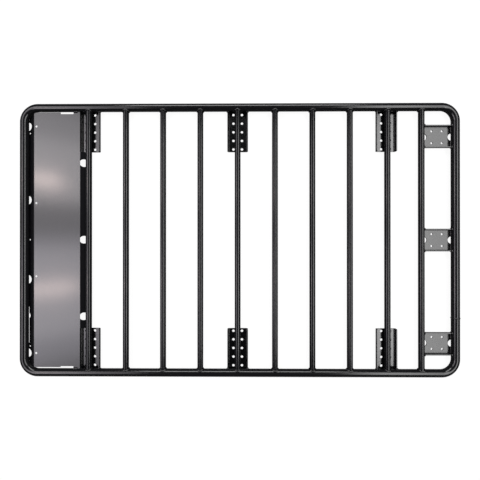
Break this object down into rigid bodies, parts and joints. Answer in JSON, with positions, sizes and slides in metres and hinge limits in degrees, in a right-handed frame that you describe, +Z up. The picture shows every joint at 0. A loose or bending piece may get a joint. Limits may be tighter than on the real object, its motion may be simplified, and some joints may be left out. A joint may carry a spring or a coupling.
{
  "type": "flat platform roof rack",
  "caption": "Flat vehicle roof rack: a bent round-tube hoop with coped crossbars, trough-shaped foot brackets, rear accessory plates and a folded sheet deflector in the front bay.",
  "frame": {"origin": "under the middle of the rack, on the plane of the foot brackets' undersides", "axes": "+X to the rear of the rack, +Y to its right-hand side, +Z up"},
  "size_m": [2.16, 1.344, 0.0433],
  "materials": {
    "hoop": "satin black powder coat on bent steel tube",
    "crossbars": "satin black powder coat on straight steel tube",
    "plates": "satin black powder coat on formed steel plate",
    "deflector": "satin black powder coat on folded steel sheet"
  },
  "bodies": {
    "root": {"front_rail": "hoop", "rear_rail": "hoop", "left_side_rail": "hoop", "right_side_rail": "hoop", "corner_front_left": "hoop", "corner_front_right": "hoop", "corner_rear_left": "hoop", "corner_rear_right": "hoop", "crossbar_01": "crossbars", "crossbar_02": "crossbars", "crossbar_03": "crossbars", "crossbar_04": "crossbars", "crossbar_05": "crossbars", "crossbar_06": "crossbars", "crossbar_07": "crossbars", "crossbar_08": "crossbars", "crossbar_09": "crossbars", "crossbar_10": "crossbars", "foot_bracket_front_left": "plates", "foot_bracket_front_right": "plates", "foot_bracket_middle_left": "plates", "foot_bracket_middle_right": "plates", "foot_bracket_rear_left": "plates", "foot_bracket_rear_right": "plates", "accessory_plate_left": "plates", "accessory_plate_center": "plates", "accessory_plate_right": "plates", "front_deflector": "deflector"}
  },
  "joints": []
}
